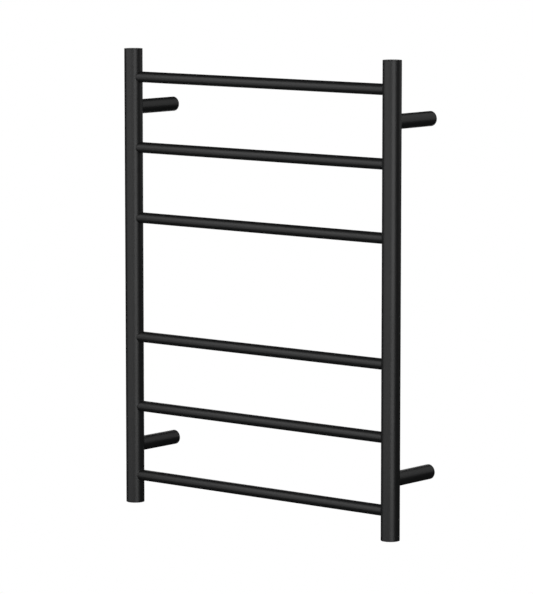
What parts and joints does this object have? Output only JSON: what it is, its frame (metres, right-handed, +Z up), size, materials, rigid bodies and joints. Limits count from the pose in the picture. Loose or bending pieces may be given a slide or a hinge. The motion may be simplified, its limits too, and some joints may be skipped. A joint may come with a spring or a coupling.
{
  "type": "heated towel rack",
  "caption": "Wall-hung electric towel warmer rack: two round uprights joined by round crossbars, standing off the wall on four round legs, in satin black.",
  "frame": {"origin": "centre of the four wall fixings, on the plane of the wall", "axes": "+Y into the wall, -Y into the room, +Z up, +X to the right as seen from the room"},
  "size_m": [0.6, 0.123, 0.8],
  "materials": {
    "black_coat": "satin black powder coat",
    "spigot_steel": "turned",
    "screw_steel": "machined",
    "brass": "machined",
    "cutout_case": "drawn",
    "gland_rubber": "moulded",
    "cable_silicone": "satin",
    "block_nylon": "moulded",
    "sleeve_plastic": "shrunk on",
    "brown_insulation": "extruded",
    "blue_insulation": "extruded",
    "green_insulation": "extruded, with a yellow stripe"
  },
  "bodies": {
    "wall_side": {"wall_spigot_top_left": "spigot_steel", "wall_spigot_top_right": "spigot_steel", "wall_spigot_bottom_left": "spigot_steel", "wall_spigot_bottom_right": "spigot_steel", "cable_gland": "gland_rubber"},
    "rack": {"upright_left": "black_coat", "upright_right": "black_coat", "end_cap_top_left": "black_coat", "end_cap_top_right": "black_coat", "end_cap_bottom_left": "black_coat", "end_cap_bottom_right": "black_coat", "crossbar_1": "black_coat", "crossbar_2": "black_coat", "crossbar_3": "black_coat", "crossbar_4": "black_coat", "crossbar_5": "black_coat", "crossbar_6": "black_coat", "leg_top_left": "black_coat", "leg_top_right": "black_coat", "leg_bottom_left": "black_coat", "leg_bottom_right": "black_coat", "terminal_block": "block_nylon", "terminal_sleeve_live": "brass", "terminal_sleeve_earth": "brass", "terminal_sleeve_neutral": "brass", "clamp_screw_1": "screw_steel", "clamp_screw_2": "screw_steel", "clamp_screw_3": "screw_steel", "clamp_screw_4": "screw_steel", "clamp_screw_5": "screw_steel", "clamp_screw_6": "screw_steel", "thermal_cutout": "cutout_case", "cable_joint": "sleeve_plastic", "earth_tab": "screw_steel", "earth_receptacle": "brass", "live_lead": "brown_insulation", "switched_live_lead": "brown_insulation", "neutral_lead": "blue_insulation", "earth_lead": "green_insulation", "heating_cable": "cable_silicone", "cable_end_seal": "sleeve_plastic"},
    "screw_top_left": {"set_screw_top_left": "screw_steel"},
    "screw_top_right": {"set_screw_top_right": "screw_steel"},
    "screw_bottom_left": {"set_screw_bottom_left": "screw_steel"},
    "screw_bottom_right": {"set_screw_bottom_right": "screw_steel"}
  },
  "joints": [
    {"name": "rack_off_wall", "type": "slide", "parent": "wall_side", "child": "rack", "axis": [0, -1, 0], "range_m": [0, 0.022]},
    {"name": "back_out_top_left", "type": "slide", "parent": "rack", "child": "screw_top_left", "axis": [0, 0, -1], "range_m": [0, 0.0025]},
    {"name": "back_out_top_right", "type": "slide", "parent": "rack", "child": "screw_top_right", "axis": [0, 0, -1], "range_m": [0, 0.0025]},
    {"name": "back_out_bottom_left", "type": "slide", "parent": "rack", "child": "screw_bottom_left", "axis": [0, 0, -1], "range_m": [0, 0.0025]},
    {"name": "back_out_bottom_right", "type": "slide", "parent": "rack", "child": "screw_bottom_right", "axis": [0, 0, -1], "range_m": [0, 0.0025]}
  ]
}
